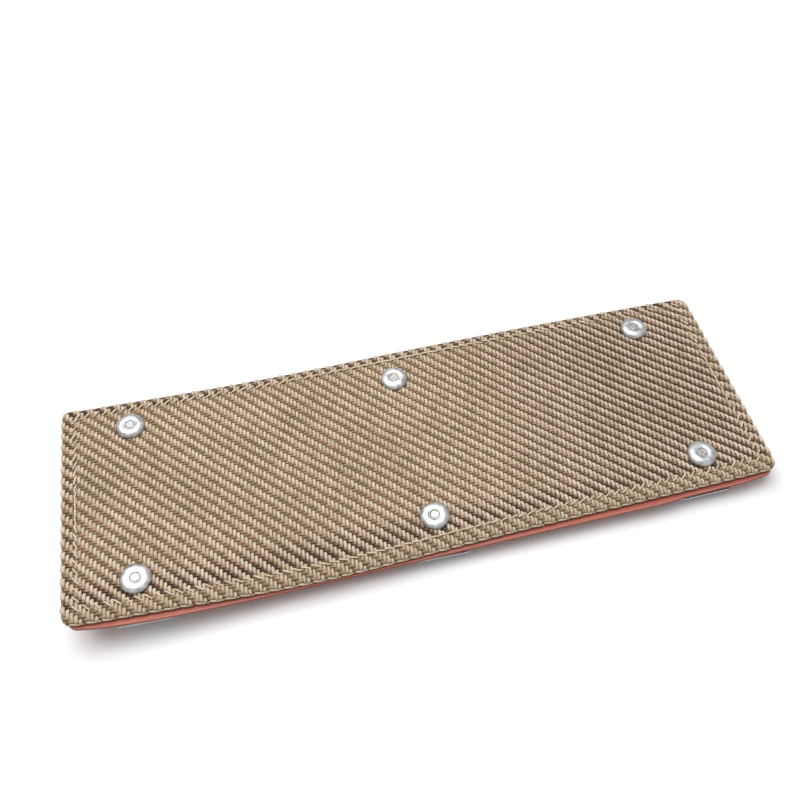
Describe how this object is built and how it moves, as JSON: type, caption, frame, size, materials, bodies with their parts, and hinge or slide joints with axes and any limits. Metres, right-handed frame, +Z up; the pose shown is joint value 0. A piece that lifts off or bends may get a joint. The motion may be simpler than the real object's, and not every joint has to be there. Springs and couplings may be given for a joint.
{
  "type": "exhaust pipe heat shield",
  "caption": "Rectangular woven heat shield pad with a silicone-coated backing, riveted to stand-off straps whose slots take clamp bands round a pipe.",
  "frame": {"origin": "bottom centre of the bounding box, on the surface that the strap bridges stand on", "axes": "+X along the pad, the curled end at -X; +Y across it; +Z up through the woven face"},
  "size_m": [0.305, 0.11, 0.0217],
  "materials": {
    "basalt_cloth": "coarse twill, matt",
    "glass_batt": "needled felt",
    "silicone_coated_cloth": "satin coating over cloth",
    "stainless_strip": "bright rolled",
    "rivet_aluminium": "bright",
    "mandrel_steel": "plain, broken end"
  },
  "bodies": {
    "root": {"outer_cover": "basalt_cloth", "insulation_batt": "glass_batt", "backing_sheet": "silicone_coated_cloth", "left_strap": "stainless_strip", "rivet_left_front": "rivet_aluminium", "mandrel_left_front": "mandrel_steel", "rivet_left_rear": "rivet_aluminium", "mandrel_left_rear": "mandrel_steel", "middle_strap": "stainless_strip", "rivet_middle_front": "rivet_aluminium", "mandrel_middle_front": "mandrel_steel", "rivet_middle_rear": "rivet_aluminium", "mandrel_middle_rear": "mandrel_steel", "right_strap": "stainless_strip", "rivet_right_front": "rivet_aluminium", "mandrel_right_front": "mandrel_steel", "rivet_right_rear": "rivet_aluminium", "mandrel_right_rear": "mandrel_steel"}
  },
  "joints": []
}
